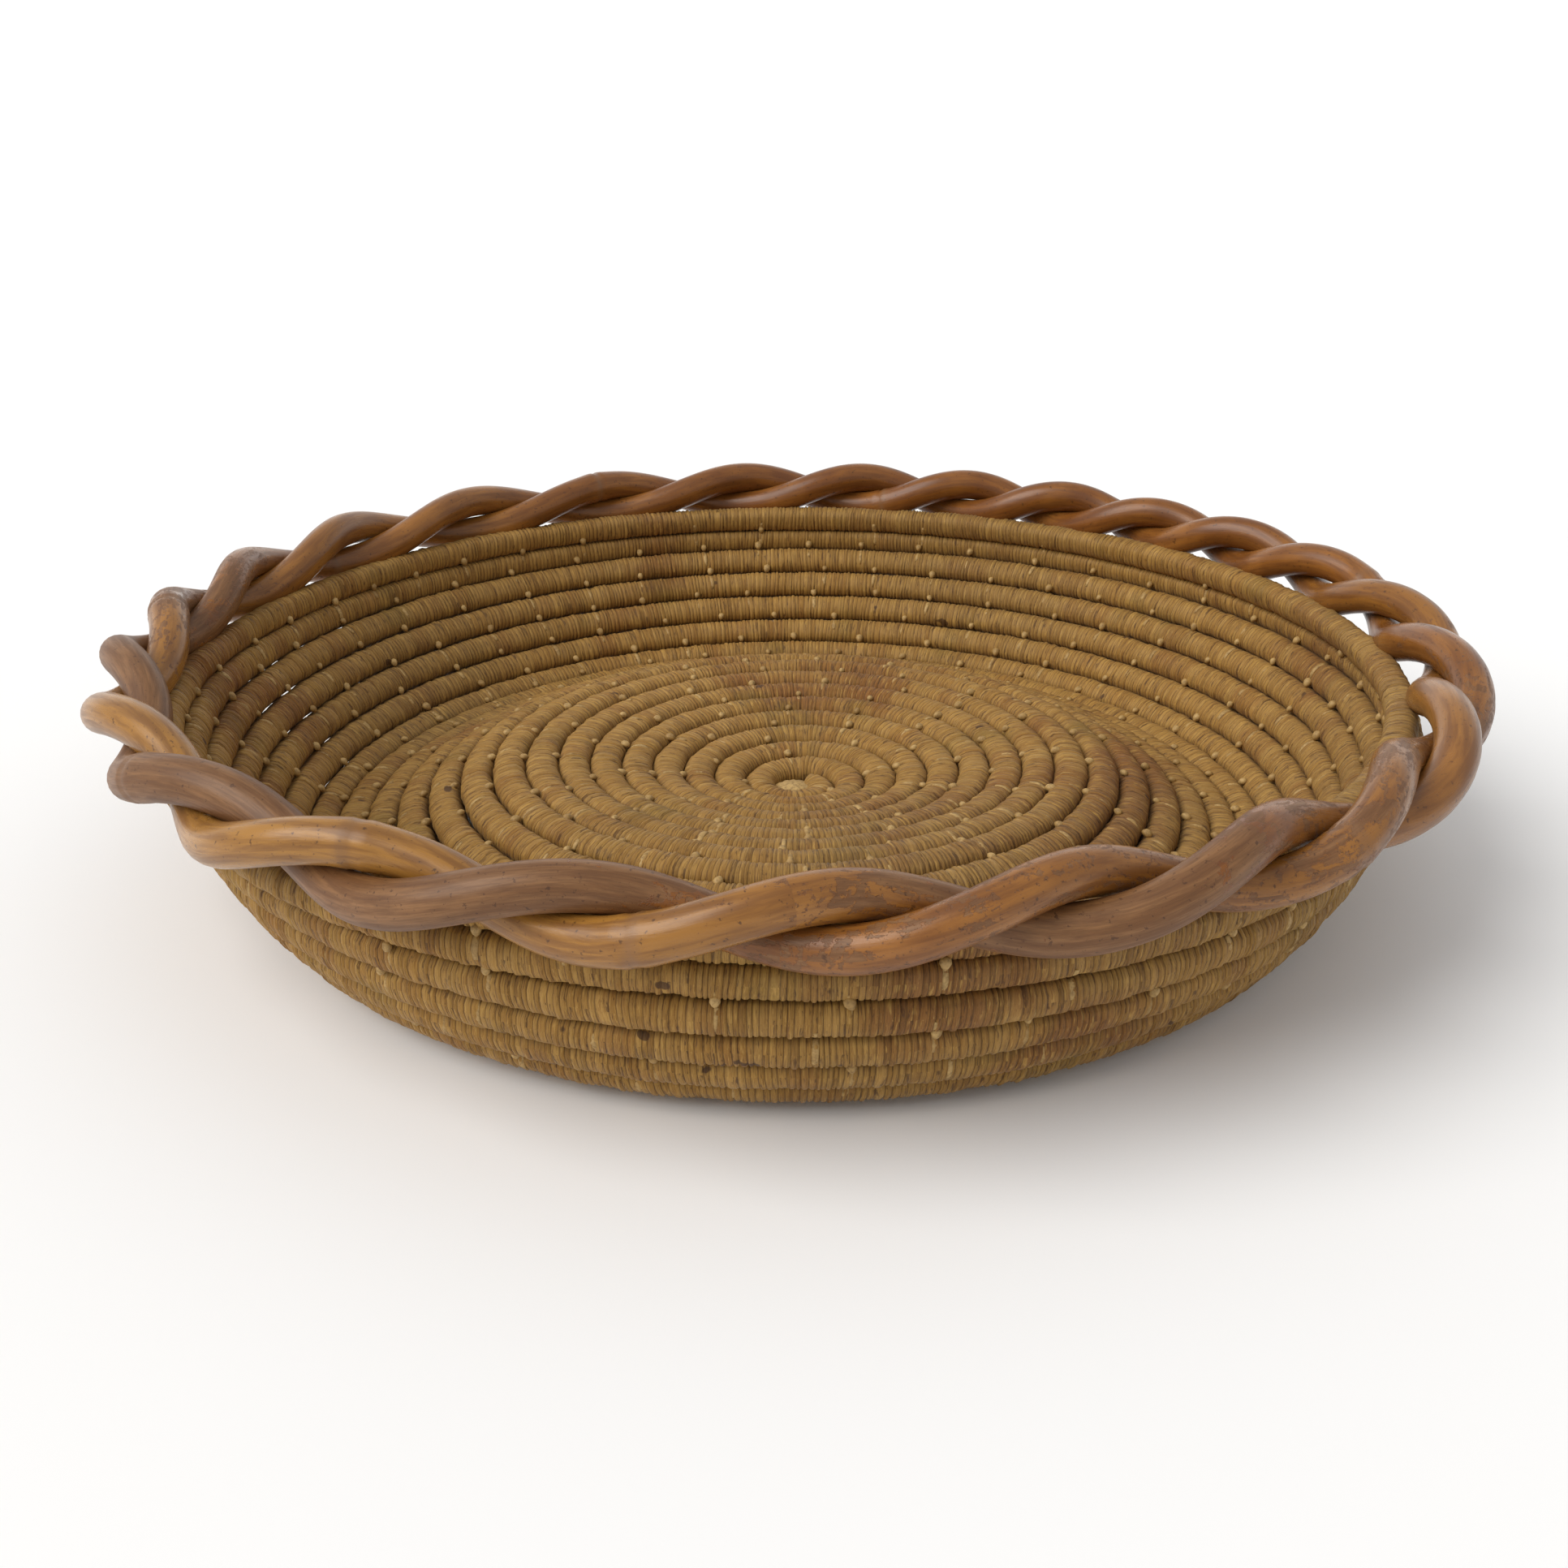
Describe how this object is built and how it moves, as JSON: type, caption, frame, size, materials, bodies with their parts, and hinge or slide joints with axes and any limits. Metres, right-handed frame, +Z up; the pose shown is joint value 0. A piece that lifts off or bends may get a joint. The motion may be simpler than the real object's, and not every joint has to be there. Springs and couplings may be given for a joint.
{
  "type": "bread basket",
  "caption": "Shallow round coiled basket of raffia-wrapped grass with a twisted cane rim, for bread or fruit.",
  "frame": {"origin": "on the resting plane under the middle of the rim", "axes": "+Z up out of the basket's mouth; -Y is the front, where the wall is steepest; the coil runs outward clockwise seen from above"},
  "size_m": [0.4237, 0.4238, 0.0782],
  "materials": {
    "raffia": "dry golden straw raffia wrapped over a grass bundle, matt with a faint sheen",
    "cane": "lacquered rattan cane, worn through in places"
  },
  "bodies": {
    "root": {"coil_start_knot": "raffia", "coil_turn_01": "raffia", "coil_turn_02": "raffia", "coil_turn_03": "raffia", "coil_turn_04": "raffia", "coil_turn_05": "raffia", "coil_turn_06": "raffia", "coil_turn_07": "raffia", "coil_turn_08": "raffia", "coil_turn_09": "raffia", "coil_turn_10": "raffia", "coil_turn_11": "raffia", "coil_turn_12": "raffia", "coil_turn_13": "raffia", "coil_turn_14": "raffia", "coil_turn_15": "raffia", "coil_turn_16": "raffia", "coil_turn_17": "raffia", "coil_turn_18": "raffia", "coil_turn_19": "raffia", "coil_turn_20": "raffia", "coil_turn_21": "raffia", "rim_cane_a": "cane", "rim_cane_b": "cane"}
  },
  "joints": []
}
